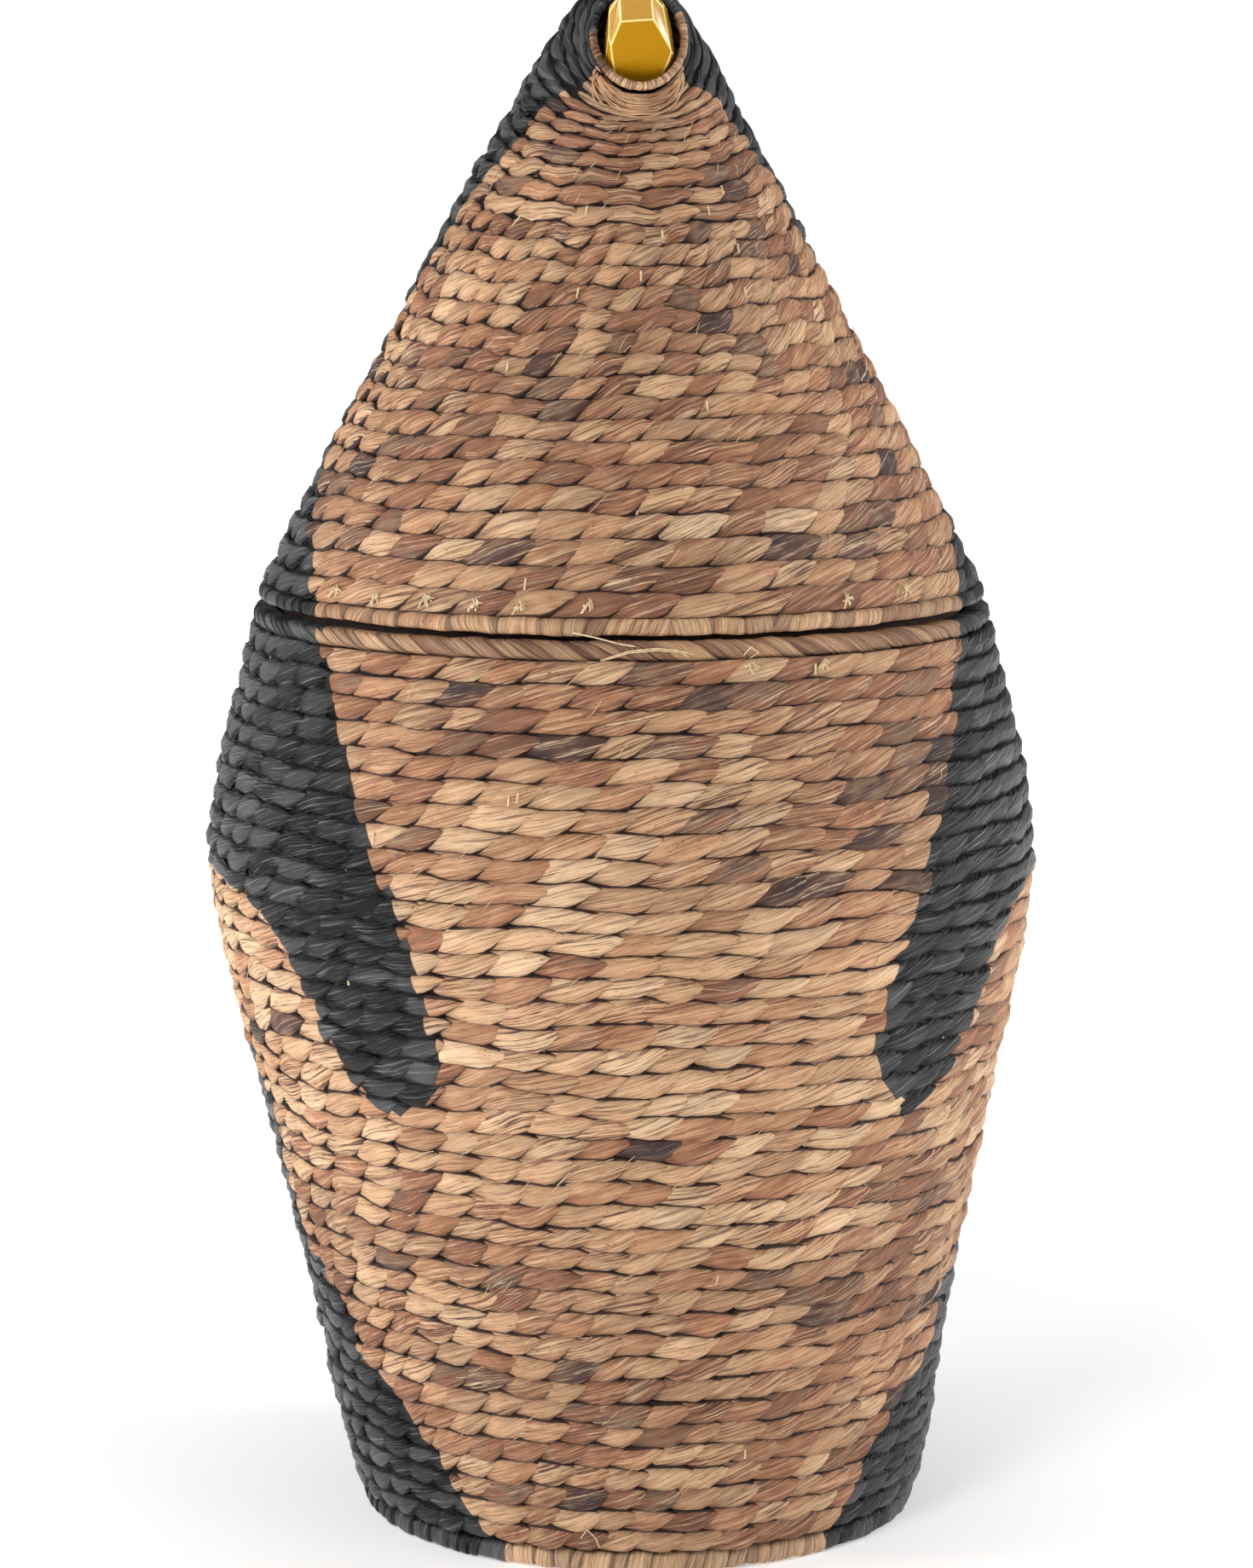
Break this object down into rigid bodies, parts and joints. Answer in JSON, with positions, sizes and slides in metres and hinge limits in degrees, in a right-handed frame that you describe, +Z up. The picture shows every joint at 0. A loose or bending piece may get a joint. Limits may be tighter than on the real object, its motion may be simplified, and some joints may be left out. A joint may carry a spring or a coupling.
{
  "type": "lidded storage basket",
  "caption": "Tall bulging woven storage basket with a conical lift-off lid whose tip bends forwards and holds a faceted beak.",
  "frame": {"origin": "on the floor, under the middle of the belly, the widest part of the basket", "axes": "+Z up; -Y to the front, the way the beak points; +X to the right of someone who looks at the front"},
  "size_m": [0.3724, 0.3724, 0.6887],
  "materials": {
    "woven_strand": "matte twisted water-hyacinth strands over thin stakes, natural tan in front, painted matte black at the back, sides and head",
    "wrapping_strand": "matte flat strand wound round a wire hoop",
    "frame_wire": "dark drawn wire",
    "split_cane": "satin bare cane",
    "yellow_lacquer": "faceted wood under glossy yellow lacquer",
    "bare_wood": "sawn and unfinished",
    "screw_steel": "zinc plated"
  },
  "bodies": {
    "basket": {"foot_wrap": "wrapping_strand", "foot_hoop": "frame_wire", "base_cross": "frame_wire", "base_mat": "woven_strand", "body_weave": "woven_strand", "body_stave_1": "frame_wire", "body_stave_2": "frame_wire", "body_stave_3": "frame_wire", "body_stave_4": "frame_wire", "body_stave_5": "frame_wire", "body_stave_6": "frame_wire", "body_stave_7": "frame_wire", "body_stave_8": "frame_wire", "belly_hoop": "frame_wire", "body_rim_hoop": "frame_wire", "body_rim_wrap": "wrapping_strand"},
    "lid": {"lid_rim_wrap": "wrapping_strand", "lid_rim_hoop": "frame_wire", "lid_collar": "split_cane", "lid_weave": "woven_strand", "lid_stave_1": "frame_wire", "lid_stave_2": "frame_wire", "lid_stave_3": "frame_wire", "lid_stave_4": "frame_wire", "lid_stave_5": "frame_wire", "lid_stave_6": "frame_wire", "lid_stave_7": "frame_wire", "lid_stave_8": "frame_wire", "head_hoop": "frame_wire", "head_wrap": "wrapping_strand", "beak": "yellow_lacquer", "beak_crossbar": "bare_wood", "beak_screw": "screw_steel"}
  },
  "joints": [
    {"name": "lid_lift", "type": "slide", "parent": "basket", "child": "lid", "axis": [0, 0, 1], "range_m": [0, 0.3]}
  ]
}
